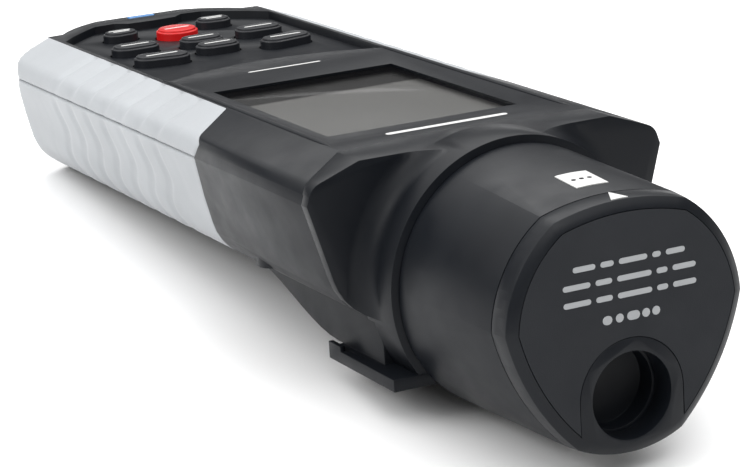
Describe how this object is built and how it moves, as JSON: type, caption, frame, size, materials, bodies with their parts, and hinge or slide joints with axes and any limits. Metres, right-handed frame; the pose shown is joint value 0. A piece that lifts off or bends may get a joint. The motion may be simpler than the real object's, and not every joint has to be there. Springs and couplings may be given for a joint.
{
  "type": "geiger counter",
  "caption": "Hand-held radiation meter with soft side grips, a key field, a display and a lobed filter dial in front of its counter tube.",
  "frame": {"origin": "middle of the underside of the accessory plate below the head, on the tripod thread's axis", "axes": "+X to the instrument's right, +Y towards the filter dial, +Z out of the display"},
  "size_m": [0.089, 0.2615, 0.0609],
  "materials": {
    "case_black": "satin moulded ABS, slightly blue black",
    "dial_black": "satin moulded ABS",
    "soft_grip": "light grey soft-touch elastomer",
    "clear_window": "polished clear acrylic",
    "lcd": "unlit liquid-crystal panel",
    "circuit_board": "green solder mask",
    "dark_rubber": "moulded silicone",
    "key_rubber": "satin silicone keys",
    "power_red": "satin red silicone",
    "indicator_blue": "tinted light guide",
    "steel": "brushed stainless steel",
    "white_print": "white printed film",
    "label_grey": "matt dark grey film",
    "aluminium_filter": "rolled sheet",
    "mica": "thin mica",
    "brass": "machined brass",
    "ivory_plastic": "moulded socket",
    "component": "moulded component body",
    "cell_jacket": "plain jacketed steel can"
  },
  "bodies": {
    "case": {"lower_shell": "case_black", "upper_shell": "case_black", "head_cover": "case_black", "rail_foot": "case_black", "tripod_bush": "brass", "grip_upper_right": "soft_grip", "grip_upper_left": "soft_grip", "grip_lower_right": "soft_grip", "grip_lower_left": "soft_grip", "display_window": "clear_window", "lcd_panel": "lcd", "main_board": "circuit_board", "keypad_mat": "dark_rubber", "status_light": "indicator_blue", "dial_barrel": "dial_black", "barrel_screws": "steel", "position_pads": "white_print", "detent_balls": "steel", "detent_springs": "steel", "counter_tube": "steel", "tube_window": "mica", "tube_screen": "steel", "tube_rings": "dark_rubber", "tube_socket": "ivory_plastic", "hv_board": "circuit_board", "hv_transformer": "component", "board_pillars": "brass", "buzzer": "component", "battery_cells": "cell_jacket", "battery_springs": "steel", "battery_plates": "steel", "case_screws": "steel"},
    "dial": {"dial_cap": "dial_black", "dial_label": "label_grey", "pointer_mark": "white_print", "beta_filter": "aluminium_filter", "gamma_shield": "aluminium_filter", "dial_spindle": "steel", "spindle_clip": "steel"},
    "door": {"battery_door": "case_black"},
    "key_mode": {"key_mode": "key_rubber"},
    "key_power": {"key_power": "power_red"},
    "key_light": {"key_light": "key_rubber"},
    "key_up": {"key_up": "key_rubber"},
    "key_enter": {"key_enter": "key_rubber"},
    "key_sound": {"key_sound": "key_rubber"},
    "key_back": {"key_back": "key_rubber"},
    "key_down": {"key_down": "key_rubber"},
    "key_setup": {"key_setup": "key_rubber"}
  },
  "joints": [
    {"name": "dial_turn", "type": "hinge", "parent": "case", "child": "dial", "pos_m": [0, 0.055, 0.0205], "axis": [0, 1, 0], "range_deg": [-180, 0]},
    {"name": "door_slide", "type": "slide", "parent": "case", "child": "door", "axis": [0, 0, -1], "range_m": [0, 0.012]},
    {"name": "key_mode_press", "type": "slide", "parent": "case", "child": "key_mode", "axis": [0, 0, -1], "range_m": [0, 0.001], "stiffness_N_per_m": 900, "springref_m": -0.0006},
    {"name": "key_power_press", "type": "slide", "parent": "case", "child": "key_power", "axis": [0, 0, -1], "range_m": [0, 0.001], "stiffness_N_per_m": 900, "springref_m": -0.0006},
    {"name": "key_light_press", "type": "slide", "parent": "case", "child": "key_light", "axis": [0, 0, -1], "range_m": [0, 0.001], "stiffness_N_per_m": 900, "springref_m": -0.0006},
    {"name": "key_up_press", "type": "slide", "parent": "case", "child": "key_up", "axis": [0, 0, -1], "range_m": [0, 0.001], "stiffness_N_per_m": 900, "springref_m": -0.0006},
    {"name": "key_enter_press", "type": "slide", "parent": "case", "child": "key_enter", "axis": [0, 0, -1], "range_m": [0, 0.001], "stiffness_N_per_m": 900, "springref_m": -0.0006},
    {"name": "key_sound_press", "type": "slide", "parent": "case", "child": "key_sound", "axis": [0, 0, -1], "range_m": [0, 0.001], "stiffness_N_per_m": 900, "springref_m": -0.0006},
    {"name": "key_back_press", "type": "slide", "parent": "case", "child": "key_back", "axis": [0, 0, -1], "range_m": [0, 0.001], "stiffness_N_per_m": 900, "springref_m": -0.0006},
    {"name": "key_down_press", "type": "slide", "parent": "case", "child": "key_down", "axis": [0, 0, -1], "range_m": [0, 0.001], "stiffness_N_per_m": 900, "springref_m": -0.0006},
    {"name": "key_setup_press", "type": "slide", "parent": "case", "child": "key_setup", "axis": [0, 0, -1], "range_m": [0, 0.001], "stiffness_N_per_m": 900, "springref_m": -0.0006}
  ]
}
